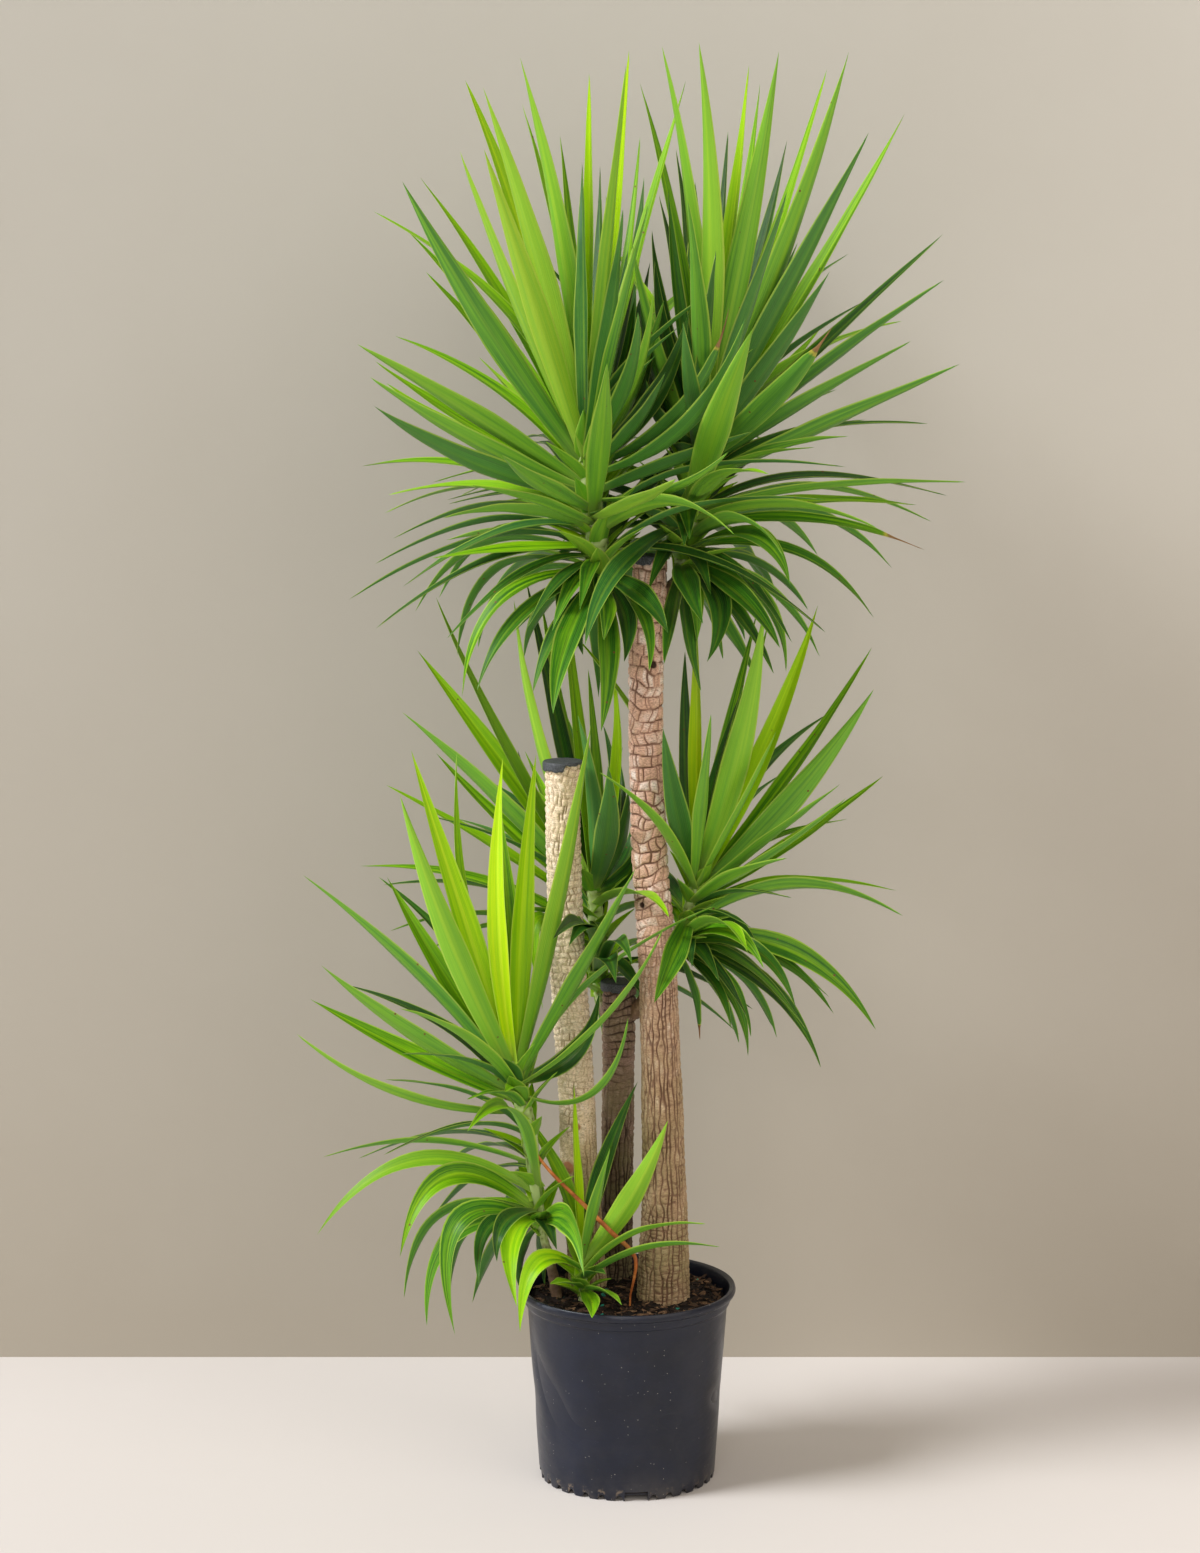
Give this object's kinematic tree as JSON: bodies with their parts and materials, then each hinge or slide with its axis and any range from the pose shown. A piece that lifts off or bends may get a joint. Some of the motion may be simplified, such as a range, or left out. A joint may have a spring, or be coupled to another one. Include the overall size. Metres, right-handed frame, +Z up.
{
  "type": "potted yucca",
  "caption": "Tall potted yucca with bare woody canes, tufts of sword-shaped leaves and a round nursery pot filled with bark mulch.",
  "frame": {"origin": "centre of the pot's foot on the floor", "axes": "+Z up along the pot's axis, the plant's height; the front, as pictured, is towards -Y"},
  "size_m": [0.955, 1.0876, 2.097],
  "materials": {
    "pot": "satin",
    "soil": "rough",
    "cane_tall": "rough",
    "cane_medium": "rough",
    "cane_short": "rough",
    "wax": "satin",
    "leaf": "satin",
    "dry_leaf": "matte"
  },
  "bodies": {
    "root": {"pot": "pot", "soil": "soil", "cane_tall": "cane_tall", "cane_medium": "cane_medium", "cane_short": "cane_short", "wax_tall": "wax", "wax_medium": "wax", "wax_short": "wax", "head_upper_left": "leaf", "head_upper_right": "leaf", "head_middle_right": "leaf", "head_middle_left": "leaf", "head_lower_left": "leaf", "shoot_front": "leaf", "dry_leaf": "dry_leaf"}
  },
  "joints": []
}
